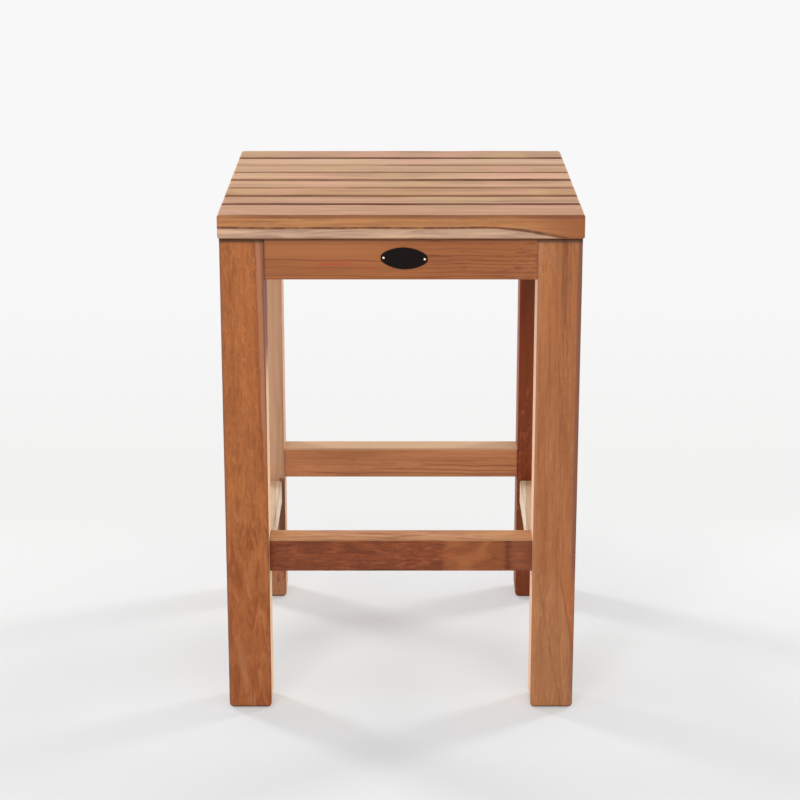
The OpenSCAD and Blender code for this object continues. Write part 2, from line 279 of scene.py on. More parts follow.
class Teak(Finish):
    """Teak for one bar, measured in millimetres from the bar's middle: u runs along the
    grain, v and w across it. The grain is solid, so the ends show end grain."""

    ORDER = {"x": (0, 1, 2), "y": (1, 0, 2), "z": (2, 0, 1)}

    def __init__(self, node, along, seed):
        super().__init__(node + "_teak")
        low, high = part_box(node)
        middle = (low + high) / 2 / MM
        place = self.node(
            "ShaderNodeMapping",
            {"vector_type": "POINT"},
            {"Vector": self.place, "Location": -middle, "Scale": (1 / MM,) * 3},
        )
        self.x, self.y, self.z = self.split(place)
        self.half = (high - low) / 2 / MM
        axes = (self.x, self.y, self.z)
        order = self.ORDER[along]
        self.u, self.v, self.w = [axes[i] for i in order]
        self.half_u, self.half_v, self.half_w = [self.half[i] for i in order]
        self.seed = seed * SEED_STEP

    def streaks(self, length, width, detail=2.0, curl=0.0):
        """Soft streaks of this length and width, bent by the curl, about -1 to 1."""
        place = self.join(self.u / length + self.seed, self.v / width, self.w / width)
        return self.noise(place, detail, curl)

    def grow(self, heart, spacing, lean=0.0, wander=4.0):
        """Growth rings round a heart at (v, w), leaning by so many millimetres for each
        millimetre along the bar. Sets how far through its ring each point is."""
        drift = self.streaks(150, 34, 1.0) * wander
        v = self.v - heart[0] + self.u * lean + drift
        w = self.w - heart[1] + drift * 0.5
        radius = (v * v + w * w).root() / spacing
        ring = (radius + self.streaks(90, 9, 1.0) * 0.35).fraction()
        self.early = 1 - self.rise(ring, 0.0, 0.30)
        self.late = self.rise(ring, 0.45, 1.0)

    def colour_grain(self, middle, spread, rings=0.3, fibres=0.3, clouds=0.3, figure=0.0):
        """Colours the grain around a middle tone, as far to the dark and the pale side as
        the spread says. The shares say how much each feature shows."""
        grain = 0.5 - self.late * rings * 0.6 - self.early * rings + rings * 0.4
        grain = grain + self.streaks(70, 1.5, 3.0) * fibres
        grain = grain + self.streaks(26, 0.6, 2.0) * fibres * 0.6
        grain = grain + self.streaks(190, 11, 1.0) * clouds
        if figure:
            grain = grain + self.streaks(13, 4.0, 2.0, 1.2) * figure
        self.colour = self.node(
            "ShaderNodeValToRGB",
            {
                "stops": [
                    (0.0, tone(*deeper(middle, spread))),
                    (0.5, tone(*middle)),
                    (1.0, tone(*deeper(middle, -0.6 * spread))),
                ]
            },
            {"Fac": grain},
        )

    def stain(self, colour, share):
        """Turns the wood towards a tone where the share says."""
        self.colour = self.mix(share, self.colour, tone(*colour))

    def shade(self, share, level):
        """Darkens the wood to a level of itself where the share says."""
        self.colour = self.mix(share, self.colour, (level, level, level, 1.0), "MULTIPLY")

    def on_line(self, distance, reach):
        """1 where the distance is 0 and 0 further than the reach from there."""
        return 1 - self.rise(abs(distance), reach * 0.3, reach * 1.2)

    def paint_shade_under_top(self):
        """Painted shade under the top: darkens the wood below it, deepest where it meets the top.
        """
        shadow = self.rise(self.z, self.half.z - 7.0, self.half.z - 2.0)
        joint_shade = self.rise(self.z, self.half.z - 2.3, self.half.z - 1.4)
        self.shade(shadow, 0.88)
        self.stain((88, 42, 14), joint_shade * 0.5)

    def inner_face(self, colour, side, share=1.0):
        """A tone on the face that looks at the opposite leg, but not on its front arris. The pale
        tones given to it are partly paler wood and partly painted highlight.
        """
        face = self.rise(self.v * side, self.half_v - 0.9, self.half_v - 0.2)
        behind = self.rise(self.w, 2.5 - self.half_w, 4.0 - self.half_w)
        self.stain(colour, face * behind * share)

    def upper_face(self):
        """1 on the upper face of a bar that lies along x, and 0 below its arris."""
        return self.rise(self.w, self.half_w - 1.6, self.half_w - 0.7)

    def left_joint(self, colour, share):
        """Dark line where the bar goes into the left leg."""
        self.stain(colour, self.rise(-LEG_FACE - self.u, 0, 0.8) * share)

    def front_only(self, reach):
        """1 on the front face and 0 further than the reach behind it."""
        return 1 - self.rise(self.w, 1.5 - self.half_w, reach - self.half_w)

    def near_edge(self, reach):
        """1 at the long arrises and 0 further than the reach from them."""
        across = self.rise(abs(self.v), self.half_v - reach, self.half_v)
        through = self.rise(abs(self.w), self.half_w - reach, self.half_w)
        return across * through

    def done(self, arris=0.82, end_reach=0.5, end_level=0.62, roughness=0.56, gloss=1.4):
        """Adds pores, darker arrises and end grain, and ends the material. Where the end level is
        low, as on the feet of the legs, the darker ends also paint the shade under them. The arris
        and the end level are how bright those stay, and the gloss is the index of refraction."""
        pores = self.rise(self.streaks(4.5, 0.42, 1.0), 0.42, 0.8)
        pores = pores * (0.45 + 0.75 * self.early)
        self.shade(pores * 0.42, 0.45)
        self.shade(self.near_edge(2.2), arris)
        ends = self.rise(abs(self.u), self.half_u - end_reach, self.half_u - end_reach * 0.35)
        self.shade(ends, end_level)
        fibre = self.streaks(45, 0.8, 2.0)
        height = 0.5 + fibre * 0.22 - pores * 0.5 - self.early * 0.12
        rough = roughness + fibre * 0.05 + pores * 0.12
        return self.surface(self.colour, rough, height, 0.16 * MM, IOR=gloss)


def deeper(colour, share):
    """A darker tone of the same wood, or a paler one where the share is below zero."""
    return tuple(level * (1 - share * pull) for level, pull in zip(colour, (1.0, 1.25, 1.5)))


def clothe(node, material):
    """Gives a node of the construction its material."""
    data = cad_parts[node].data
    data.materials.clear()
    data.materials.append(material)


def left_front_leg():
    """Curly orange grain, blotchy lower down. A pinkish band and purple-brown grain come in
    beside the apron and fade away downwards, and a soft broken streak crosses the foot."""
    teak = Teak("leg_front_left", "z", 1)
    teak.grow(heart=(6, 74), spacing=6.0, lean=0.012, wander=9)
    teak.colour_grain((172, 100, 51), 0.2, rings=0.16, fibres=0.2, clouds=0.28, figure=0.42)
    curls = teak.streaks(9, 3.2, 2.0, 1.4)
    teak.stain((148, 84, 42), teak.rise(curls, 0.25, 0.8) * 0.55)
    pale = 0.32 + teak.rise(teak.u, 60, 160) * 0.25
    teak.stain((206, 138, 78), teak.rise(-curls, 0.15, 0.7) * pale)
    teak.stain((156, 82, 40), teak.rise(-50 - teak.u, 0, 70) * 0.4)
    lower = teak.rise(20 - teak.u, 0, 70)
    blotches = teak.streaks(26, 7, 2.0, 1.0)
    teak.stain((188, 116, 70), teak.rise(blotches, 0.05, 0.5) * lower * 0.7)
    teak.stain((142, 72, 30), teak.rise(-blotches, 0.05, 0.5) * lower * 0.75)
    teak.stain((212, 146, 100), teak.rise(teak.streaks(5, 1.8, 1.0), 0.55, 0.9) * lower * 0.5)
    border = 11.8 + (213 - teak.u) * 0.018 + teak.streaks(38, 60, 2.0) * 0.9
    beside = teak.v - border
    high = teak.rise(teak.u, -10, 60)
    teak.stain((144, 82, 46), teak.on_line(beside + 0.8, 0.7) * high * 0.55)
    teak.stain((180, 118, 86), teak.rise(beside, -0.5, 0.5) * high * 0.85)
    deep = teak.rise(beside, 3.2, 4.2) * high
    teak.stain((148, 92, 68), deep * 0.9)
    red = teak.rise(teak.u, 6, 26) * (1 - teak.rise(teak.u, 78, 100))
    teak.stain((164, 76, 44), teak.on_line(beside + 1.6, 0.9) * red * 0.7)
    # Painted shade along the outer left arris of the front face.
    shaded_left_edge = teak.rise(-teak.v, teak.half_v - 3, teak.half_v - 1)
    teak.stain((146, 96, 74), shaded_left_edge * teak.front_only(4.5) * 0.55)
    low = teak.rise(-teak.u, 124, 170)
    aslant = teak.v + 7.1 - (-162 - teak.u) * 0.18
    broken = (0.7 + teak.streaks(16, 4.0, 1.0) * 0.5).below(1.0)
    aslant = aslant + teak.streaks(24, 60) * 1.6
    teak.stain((190, 128, 90), teak.on_line(aslant, 4.0) * broken * low * 0.42)
    check = teak.on_line(teak.v - 2.3, 0.6) * teak.rise(-188 - teak.u, 0, 10)
    teak.stain((112, 62, 34), check * 0.6)
    # Painted shade under the top.
    teak.paint_shade_under_top()
    teak.inner_face((124, 58, 22), 1)
    # Pale lower inner face: partly paler wood, partly painted highlight.
    teak.inner_face((228, 190, 146), 1, 1 - teak.rise(teak.u, 75, 125))
    return teak.done(roughness=0.62, gloss=LOW_GLOSS, **FOOT)


def right_front_leg():
    """Soft wavy grain with painted shade along its right edge. Low down a redder part crosses it
    aslant.
    """
    teak = Teak("leg_front_right", "z", 2)
    teak.grow(heart=(-110, 40), spacing=7.0, lean=0.02, wander=8)
    teak.colour_grain((168, 102, 57), 0.22, rings=0.14, fibres=0.28, clouds=0.42, figure=0.2)
    wavy = teak.streaks(34, 2.6, 2.0, 0.9)
    teak.stain((194, 132, 92), teak.rise(wavy, 0.1, 0.7) * 0.55)
    teak.stain((142, 82, 46), teak.rise(-wavy, 0.15, 0.7) * 0.55)
    swirl = teak.rise(teak.u, 150, 200) * (1 - teak.rise(teak.v, -12, 2))
    teak.stain((196, 134, 88), teak.rise(teak.streaks(12, 4, 2.0, 1.6), -0.1, 0.5) * swirl * 0.5)
    # Pinkish left arris and inner face: partly paler wood, partly painted highlight.
    teak.stain((184, 128, 96), teak.rise(-teak.v, teak.half_v - 2.6, teak.half_v - 1.4) * 0.6)
    # Painted shade along the outer right arris of the front face.
    shaded_right_edge = teak.rise(teak.v, teak.half_v - 4.8, teak.half_v - 2.8)
    teak.stain((132, 82, 62), shaded_right_edge * teak.front_only(5.0) * 0.85)
    low = teak.rise(-72 - teak.u, 0, 36) * teak.front_only(14.0)
    slope = teak.v - 4.1 - (-80 - teak.u) * 0.178 + teak.streaks(50, 60, 1.0) * 0.8
    teak.stain((182, 104, 54), teak.rise(slope, -1.0, 1.0) * low * 0.75)
    teak.stain((186, 128, 84), (1 - teak.rise(slope, -1.0, 1.0)) * low * 0.3)
    curly = teak.streaks(15, 4.0, 2.0, 1.2)
    teak.stain((196, 138, 90), teak.rise(curly, 0.1, 0.6) * low * 0.4)
    teak.stain((142, 82, 44), teak.rise(-curly, 0.15, 0.7) * low * 0.4)
    for beyond, strength in ((0.0, 0.45), (19.5, 0.3)):
        teak.stain((136, 78, 44), teak.on_line(slope + beyond, 1.4) * low * strength)
    # Painted shade under the top.
    teak.paint_shade_under_top()
    # Cream inner face: partly paler wood, partly painted highlight.
    teak.inner_face((236, 186, 150), -1)
    return teak.done(arris=0.92, **FOOT)


def left_back_leg():
    """Pinkish tan, with painted shade low on its front face: browner at the foot and a dark
    strip below the stretcher.
    """
    teak = Teak("leg_back_left", "z", 3)
    teak.grow(heart=(-90, -60), spacing=6.0, lean=0.01)
    teak.colour_grain((203, 158, 123), 0.16, rings=0.2, fibres=0.22, clouds=0.3)
    teak.stain((212, 162, 134), (1 - teak.rise(teak.v, 6, 16)) * 0.4)
    front = teak.front_only(7.0)
    # Painted shade on the front face low down, browner and mottled at the foot.
    foot = teak.rise(-95 - teak.u, 0, 40) * front
    teak.stain((168, 102, 60), foot * 0.85)
    teak.stain((118, 66, 34), teak.rise(teak.streaks(9, 4.0, 2.0, 1.0), -0.1, 0.5) * foot * 0.65)
    # Painted shadow of the stretcher: a dark strip on the front face below it.
    dark = teak.rise(-84 - teak.u, 0, 5) * (1 - teak.rise(-150 - teak.u, 0, 10))
    teak.stain((112, 68, 42), dark * teak.rise(teak.v, 12.5, 14) * front * 0.9)
    # Painted shade under the top.
    teak.paint_shade_under_top()
    return teak.done(**FOOT)


def right_back_leg():
    """Dark red-brown all over, with red streaks, more olive at the upper right and speckled low
    down.
    """
    teak = Teak("leg_back_right", "z", 4)
    teak.grow(heart=(70, -70), spacing=6.0, lean=0.02)
    teak.colour_grain((132, 54, 14), 0.28, rings=0.2, fibres=0.3, clouds=0.3)
    teak.stain((150, 58, 26), teak.rise(teak.streaks(70, 3.0, 1.0), 0.0, 0.6) * 0.6)
    olive = teak.rise(teak.v + (178 - teak.u) * 0.03, -14, -11)
    teak.stain((94, 52, 12), olive * (0.3 + teak.rise(teak.u, 60, 150) * 0.5))
    specks = teak.rise(teak.streaks(8, 2.6, 2.0, 1.0), 0.15, 0.6)
    teak.stain((170, 94, 56), specks * teak.rise(40 - teak.u, 0, 70) * 0.7)
    # Painted shade under the top.
    teak.paint_shade_under_top()
    return teak.done(gloss=LOW_GLOSS, **FOOT)


def front_apron():
    """Orange tan and smooth at the upper left, redder and wavier to the right, with thin
    dark wavy lines and a few red streaks."""
    teak = Teak("apron_front", "x", 5)
    teak.grow(heart=(60, 90), spacing=8.0, lean=0.0, wander=14)
    teak.colour_grain((165, 97, 51), 0.2, rings=0.14, fibres=0.24, clouds=0.24)
    left = 1 - teak.rise(teak.u, -60, 10)
    teak.stain((178, 112, 62), left * teak.rise(teak.w, -2, 6) * 0.5)
    right = teak.rise(teak.u, -10, 40)
    teak.stain((158, 88, 44), right * 0.45)
    wave = teak.streaks(52, 60, 1.0) * 1.8 + teak.streaks(17, 30, 1.0) * 0.5
    for height, strength in ((-0.6, 0.6), (-7.0, 0.35), (-14.2, 0.5)):
        teak.stain((124, 66, 36), teak.on_line(teak.w - height - wave, 0.8) * strength)
    for height, strength in ((9.0, 0.3), (3.4, 0.5), (-3.6, 0.45), (-10.6, 0.5)):
        teak.stain((118, 60, 32), teak.on_line(teak.w - height - wave, 0.8) * right * strength)
    ripples = teak.rise(teak.streaks(26, 1.8, 2.0, 0.8), 0.15, 0.5)
    teak.stain((122, 62, 34), ripples * right * 0.8)
    teak.stain((178, 112, 72), teak.rise(teak.streaks(30, 2.4, 2.0, 0.8), 0.2, 0.7) * right * 0.45)
    red = teak.rise(teak.streaks(40, 4.0, 1.0), -0.1, 0.4) * teak.on_line(teak.w + 4.5, 4.4)
    teak.stain((178, 78, 46), red * (1 - teak.rise(teak.u, -26, -14)) * 0.8)
    swirl = teak.rise(teak.u, 84, 112) * teak.rise(teak.streaks(14, 6.0, 2.0, 1.8), -0.1, 0.5)
    teak.stain((188, 126, 86), swirl * 0.32)
    teak.left_joint((108, 62, 40), 0.85)
    # Painted shade under the top.
    teak.paint_shade_under_top()
    return teak.done()


def side_apron(node, seed):
    """Plain tan wood."""
    teak = Teak(node, "y", seed)
    teak.grow(heart=(50, 70), spacing=6.5, wander=9)
    teak.colour_grain((172, 112, 70), 0.17, rings=0.24, fibres=0.25, clouds=0.3)
    # Painted shade under the top.
    teak.paint_shade_under_top()
    return teak.done()


def back_apron():
    """Plain tan wood, as on the side aprons."""
    teak = Teak("apron_back", "x", 8)
    teak.grow(heart=(-50, -70), spacing=6.5, wander=9)
    teak.colour_grain((170, 110, 70), 0.17, rings=0.24, fibres=0.25, clouds=0.3)
    # Painted shade under the top.
    teak.paint_shade_under_top()
    return teak.done()


def front_stretcher():
    """Mottled dark red-brown, with a lighter orange part right of the middle, and painted
    light that makes its upper face paler."""
    teak = Teak("stretcher_front", "x", 9)
    teak.grow(heart=(44, -60), spacing=8.0, wander=12)
    teak.colour_grain((126, 62, 31), 0.28, rings=0.16, fibres=0.26, clouds=0.32, figure=0.45)
    patch = teak.rise(teak.u, 34, 44) * (1 - teak.rise(teak.u, 88, 93))
    teak.stain((158, 90, 46), patch * 0.58)
    mottles = teak.streaks(24, 7, 2.0, 1.4)
    teak.stain((172, 92, 52), teak.rise(mottles, 0.1, 0.6) * (0.6 + patch * 0.15))
    teak.stain((104, 50, 26), teak.rise(-mottles, 0.1, 0.6) * 0.6)
    crescents = teak.on_line((teak.streaks(46, 22, 1.0) - 0.05) * 10, 2.4)
    teak.stain((186, 114, 66), crescents * patch * 0.4)
    teak.stain((98, 48, 26), teak.on_line(teak.u - 93.5, 1.6) * 0.5)
    teak.stain((150, 88, 58), teak.rise(teak.u, 95, 99) * 0.4)
    top = teak.upper_face()
    # Painted light: the upper face made paler, as if lit from above.
    teak.stain((196, 140, 94), top * 0.9)
    teak.stain((204, 138, 104), teak.rise(teak.streaks(44, 20, 1.0), 0.0, 0.5) * top * 0.5)
    across = teak.streaks(34, 5, 2.0, 0.7)
    teak.stain((152, 90, 56), teak.rise(across, 0.0, 0.45) * top * 0.65)
    teak.stain((220, 172, 124), teak.rise(-across, 0.05, 0.5) * top * 0.5)
    pale_ends = teak.rise(abs(teak.u + 10), 55, 100)
    teak.stain((210, 160, 108), pale_ends * top * 0.5)
    teak.left_joint((96, 56, 36), 0.75)
    return teak.done(gloss=LOW_GLOSS)


def back_stretcher():
    """Tan wood with short brown lines that start further right the higher they lie, and
    painted light that makes its upper face pale."""
    teak = Teak("stretcher_back", "x", 10)
    teak.grow(heart=(-40, 70), spacing=6.0, wander=8)
    teak.colour_grain((191, 125, 80), 0.2, rings=0.1, fibres=0.3, clouds=0.32)
    teak.stain((172, 102, 66), teak.rise(teak.streaks(22, 6, 2.0, 1.0), 0.0, 0.6) * 0.45)
    wave = teak.streaks(60, 60, 1.0) * 2.4 - teak.u * 0.012
    for height, start in ((-1.5, 30), (-6.5, -30), (-10.5, -90)):
        line = teak.on_line(teak.w - height - wave, 0.9)
        line = line * teak.rise(teak.u, start - 20, start + 20)
        teak.stain((128, 74, 44), line * 0.55)
    # Painted light: the upper face made pale, as if lit from above.
    teak.stain((222, 184, 144), teak.upper_face() * 0.9)
    return teak.done()


def side_stretcher(node, seed):
    """Pale sapwood, pinker on the left, with one grey-brown line that leaves the inner edge
    towards the back and has tan wood on its outer side."""
    teak = Teak(node, "y", seed)
    teak.grow(heart=(-60, 40), spacing=6.0, wander=5)
    teak.colour_grain((238, 219, 188), 0.1, rings=0.2, fibres=0.2, clouds=0.2)
    bend = teak.streaks(120, 60, 1.0) * 1.2 + 12.3 - teak.u * 0.05
    side, tan, pink = (1.0, 0.3, 0.5) if node.endswith("left") else (-1.0, 0.6, 0.15)
    teak.stain((236, 190, 164), teak.rise(teak.streaks(60, 9, 1.0), -0.2, 0.4) * pink)
    teak.stain((206, 158, 112), teak.rise(bend - teak.v * side, -0.8, 0.8) * tan)
    teak.stain((172, 138, 104), teak.on_line(teak.v * side - bend, 0.7) * 0.4)
    return teak.done()


def batten(node, seed):
    """Plain wood of the hidden battens."""
    teak = Teak(node, "y", seed)
    teak.grow(heart=(30, 60), spacing=5.0)
    teak.colour_grain((174, 116, 76), 0.17, rings=0.25, fibres=0.25, clouds=0.25)
    return teak.done()


def paint_gap_shade(teak, way, left, right):
    """Painted shade of a gap: a brown line of uneven width along one long edge of a slat, the
    back one where the way is 1, the front one where it is -1. Left and right say how strong it is
    at the ends."""
    strength = (0.9 + teak.streaks(60, 400, 1.0) * 0.45).above(0.3).below(1.0)
    width = (4.4 + teak.streaks(30, 400, 2.0) * 1.8).above(2.2)
    here = left + (right - left) * teak.rise(teak.u, -40, 30)
    line = teak.rise(teak.v * way, teak.half_v - width, teak.half_v - width * 0.4)
    teak.stain((106, 54, 14), line * strength * here)


# Middle tone of each slat behind the front one.
SLAT_TONES = {
    2: (191, 143, 106), 3: (188, 138, 92), 4: (200, 152, 113), 5: (209, 160, 123),
    6: (196, 151, 113), 7: (207, 165, 129), 8: (181, 137, 101),
}
# How dark the painted shade of the gap behind each slat is at its left and its right end.
GAP_SHADE = {
    1: (1.0, 1.0), 2: (0.62, 0.62), 3: (0.2, 0.42), 4: (0.55, 0.95),
    5: (0.55, 0.62), 6: (0.1, 0.38), 7: (0.92, 0.95),
}


def top_slat(number):
    """Light pinkish tan, each slat in a tone of its own, with painted shade lines at its gaps."""
    teak = Teak(f"slat_{number}", "x", 20 + number)
    teak.grow(heart=(30 - 9 * (number % 3), -60), spacing=7.0, wander=9)
    teak.colour_grain(SLAT_TONES[number], 0.2, rings=0.2, fibres=0.3, clouds=0.42)
    teak.stain((224, 160, 132), teak.rise(teak.streaks(70, 70, 1.0), 0.0, 0.45) * 0.36)
    teak.stain((206, 164, 110), teak.rise(-teak.streaks(56, 60, 1.0), 0.05, 0.5) * 0.5)
    teak.stain((176, 120, 78), teak.rise(teak.streaks(90, 4.5, 1.0), 0.35, 0.7) * 0.4)
    # Painted shade of the gaps along both long edges.
    if number in GAP_SHADE:
        paint_gap_shade(teak, 1, *GAP_SHADE[number])
    paint_gap_shade(teak, -1, *GAP_SHADE[number - 1])
    return teak.done(arris=1.0)


def front_slat():
    """Pinkish top, golden front with a dark arris, and below a knotty dark line pale
    sapwood, which tapers away to the right."""
    teak = Teak("slat_1", "x", 21)
    teak.grow(heart=(10, -66), spacing=6.0, wander=7)
    teak.colour_grain((187, 127, 78), 0.24, rings=0.12, fibres=0.3, clouds=0.4, figure=0.14)
    face = 1 - teak.rise(teak.v, 1.6 - teak.half_v, 3.0 - teak.half_v)
    teak.stain((199, 151, 115), (1 - face) * 0.72)
    teak.stain((214, 154, 130), teak.rise(teak.streaks(60, 20, 1.0), 0.0, 0.5) * (1 - face) * 0.5)
    bands = teak.streaks(70, 8, 1.0)
    teak.stain((180, 128, 92), teak.rise(bands, 0.1, 0.5) * (1 - face) * 0.5)
    teak.stain((226, 180, 150), teak.rise(-bands, 0.1, 0.5) * (1 - face) * 0.45)
    drop = (teak.u - 70).above(0)
    bend = drop * drop * 0.002
    clouds = teak.streaks(34, 3.0, 2.0, 0.5)
    teak.stain((206, 128, 72), teak.rise(clouds, 0.1, 0.6) * face * 0.65)
    teak.stain((156, 98, 58), teak.rise(-clouds, 0.15, 0.6) * face * 0.55)
    end = teak.rise(teak.u, 84, 150)
    teak.stain((154, 86, 46), end * face * 0.85)
    line = teak.w + 0.3 + bend + teak.streaks(40, 60, 1.0) * 0.5
    sap = (1 - teak.rise(line, -1.6, -0.8)) * face
    teak.stain((198, 162, 134), sap * 0.95)
    drift = teak.streaks(44, 3.4, 2.0, 0.6)
    teak.stain((226, 182, 150), teak.rise(drift, 0.0, 0.4) * sap * 0.75)
    teak.stain((166, 130, 112), teak.rise(-drift, 0.05, 0.5) * sap * 0.7)
    knots = (0.85 + teak.streaks(9, 60, 2.0) * 0.55).above(0.35).below(1.0)
    reach = 1.3 + teak.rise(teak.u, 90, 125) * 0.6
    teak.stain((106, 62, 38), teak.on_line(line, reach) * knots * face)
    arris = teak.rise(teak.w, teak.half_w - 3.6, teak.half_w - 2.2) * face
    band = 0.3 + teak.rise(teak.u, -150, -100) * 0.4 + teak.streaks(46, 60, 2.0) * 0.25
    teak.stain((124, 70, 38), arris * band.below(1.0))
    # Painted shade on the lower front arris, which faces down.
    under = 1 - teak.rise(teak.w, 0.9 - teak.half_w, 2.4 - teak.half_w)
    teak.stain((126, 74, 40), under * 0.85)
    # Painted shade of the gap behind the front slat.
    paint_gap_shade(teak, 1, *GAP_SHADE[1])
    return teak.done(arris=1.0)


def eased_bar_maker(upright=False):
    """Tree for a sawn bar whose arrises are sanded round and whose faces are a little
    uneven. Lengths are in metres. The bar lies along x, or stands on a rounder foot."""
    bar = Maker(
        "standing_bar" if upright else "lying_bar", middle=Vector, half=Vector,
        edge_ease=float, end_ease=float, wear=float, skew=float, seed=float,
    )
    # For each axis, the vertices and how many of the steps at each end go round the arris.
    counts = [(19, 5), (19, 5), (97, 4)] if upright else [(97, 4), (19, 5), (17, 5)]
    box = bar.node(
        "GeometryNodeMeshCube",
        {},
        {
            "Size": (2.0, 2.0, 2.0),
            "Vertices X": counts[0][0],
            "Vertices Y": counts[1][0],
            "Vertices Z": counts[2][0],
        },
    )
    unit = bar.split(bar.node("GeometryNodeInputPosition"))
    length, across, through = reversed(unit) if upright else unit
    half = bar.split(bar.given("half"))
    seed = bar.given("seed")
    rubbed = bar.noise(bar.join(length * 7 + seed, across * 1.3, through * 1.3), 2.0)
    edge = bar.given("edge_ease") * (1.0 + rubbed * 0.45)
    end = bar.given("end_ease")
    if upright:
        square = 0.3 * MM
        end = (end - square) * (-length.sign()).above(0.0) + square
    ease = (edge, edge, end) if upright else (end, edge, edge)
    core = []
    turn = []
    for place, reach, radius, (vertices, steps) in zip(unit, half, ease, counts):
        flat = 1 - 2 * steps / (vertices - 1)
        core.append((place / flat).below(1.0).above(-1.0) * (reach - radius))
        angle = ((abs(place) - flat) / (1 - flat)).above(0.0) * (math.pi / 4)
        turn.append(place.sign() * angle.tangent())
    out = bar.split(bar.vector("NORMALIZE", bar.join(*turn)))
    hollow = bar.noise(bar.join(length * 3.1, across * 0.8 + seed, through * 0.6), 1.0)
    hollow = (0.5 + hollow * 0.5).above(0.0).below(1.0) * bar.given("wear")
    x, y, z = [
        inner + way * (radius - hollow) for inner, way, radius in zip(core, out, ease)
    ]
    if upright:
        below = (end - z - half[2]).above(0.0).below(end)
        inset = (end - (end * end - below * below).root()) * (1 - edge / end)
        x, y = x * (1 - inset / half[0]), y * (1 - inset / half[1])
    placed = bar.vector("ADD", bar.join(x, y + x * bar.given("skew"), z), bar.given("middle"))
    moved = bar.node("GeometryNodeSetPosition", {}, {"Geometry": box, "Position": placed})
    smooth = bar.node("GeometryNodeSetShadeSmooth", {}, {"Geometry": moved})
    bar.end(smooth)
    return bar


def rows(tree, shape, tilt=0.0, spin=0.0):
    """Copies a shape in two columns, at both sides of the middle. The tilt leans them
    outwards, and chance turns each about itself by up to the spin, both in radians."""
    grid = tree.node(
        "GeometryNodeMeshGrid",
        {},
        {
            "Vertices X": 2,
            "Vertices Y": tree.given("count"),
            "Size X": tree.given("apart"),
            "Size Y": tree.given("span"),
        },
    )
    placed = tree.node(
        "GeometryNodeTransform", {}, {"Geometry": grid, "Translation": tree.given("middle")}
    )
    side = tree.split(tree.node("GeometryNodeInputPosition"))[0].sign()
    outwards = tree.join(0.0, side * tilt, 0.0)
    lean = tree.node("FunctionNodeEulerToRotation", {}, {"Euler": outwards})
    copies = tree.node(
        "GeometryNodeInstanceOnPoints",
        {},
        {"Points": placed, "Instance": shape, "Rotation": lean},
    )
    chance = tree.node(
        "FunctionNodeRandomValue",
        {"data_type": "FLOAT"},
        {2: 0.0, 3: spin, 8: tree.given("seed")},
        output=1,
    )
    turn = tree.node("FunctionNodeEulerToRotation", {}, {"Euler": tree.join(0.0, 0.0, chance)})
    return tree.node("GeometryNodeRotateInstances", {}, {"Instances": copies, "Rotation": turn})


def turned(tree, vertices, rings, caps):
    """Cylinder of unit radius and unit length, with its foot at z = 0, ready to be shaped:
    gives the mesh, its x and y, its height from 0 to 1 and its angle in turns."""
    mesh = tree.node(
        "GeometryNodeMeshCylinder",
        {"fill_type": "TRIANGLE_FAN"},
        {
            "Vertices": vertices,
            "Side Segments": rings,
            "Fill Segments": caps,
            "Radius": 1.0,
            "Depth": 1.0,
        },
    )
    x, y, z = tree.split(tree.node("GeometryNodeInputPosition"))
    return mesh, x, y, z + 0.5, y.maths("ARCTAN2", y, x) / (2 * math.pi)


def screw_maker():
    """Tree for countersunk wood screws with a cross recess, a thread and a point. The flat
    of the head is at z = 0 and the point is up, before the tilt. Head, thread and core are
    radii."""
    screw = Maker(
        "wood_screws", count=int, apart=float, span=float, middle=Vector, seed=int,
        length=float, head=float, thread=float, core=float, pitch=float, tilt=float,
    )
    mesh, x, y, up, angle = turned(screw, 32, 72, 10)
    length, head, core = [screw.given(name) for name in ("length", "head", "core")]
    blunt = 0.2 * MM
    recess_depth = 1.6 * MM
    height = up * length
    crest = screw.given("thread")
    ridge = 1 - abs((height / screw.given("pitch") - angle).fraction() * 2 - 1) * 1.6
    threaded = screw.rise(height, head * 1.6, head * 1.8)
    shank = core + (crest - core) * ridge.above(0.0) * threaded
    point = (length - height) * 0.62 + blunt
    radius = shank.above(head - height).below(point)
    across, along = x * radius, y * radius
    wing = abs(across).below(abs(along))
    reach = abs(across).above(abs(along))
    narrow = 1 - screw.rise(wing, 0.3 * MM, 0.6 * MM)
    recess = narrow * (1 - screw.rise(reach, 1.2 * MM, 2.2 * MM))
    flat = (1 - up * 1000).above(0.0)
    placed = screw.join(across, along, height + recess * flat * recess_depth)
    shaped = screw.node("GeometryNodeSetPosition", {}, {"Geometry": mesh, "Position": placed})
    screw.end(rows(screw, shaped, screw.given("tilt"), math.pi))
    return screw


def dowel_maker():
    """Tree for upright fluted dowels with chamfered ends."""
    dowel = Maker(
        "fluted_dowels", count=int, apart=float, span=float, middle=Vector, seed=int,
        length=float, radius=float, flutes=float, chamfer=float,
    )
    mesh, x, y, up, angle = turned(dowel, 72, 26, 2)
    length, radius, chamfer = [dowel.given(name) for name in ("length", "radius", "chamfer")]
    height = up * length
    groove = abs((angle * dowel.given("flutes")).fraction() * 2 - 1)
    cut = dowel.rise(groove, 0.55, 1.0) * 0.07
    end = chamfer - height.below(length - height).below(chamfer)
    girth = radius * (1 - cut) - end
    placed = dowel.join(x * girth, y * girth, height)
    shaped = dowel.node("GeometryNodeSetPosition", {}, {"Geometry": mesh, "Position": placed})
    dowel.end(rows(dowel, shaped, 0.0, math.pi))
    return dowel


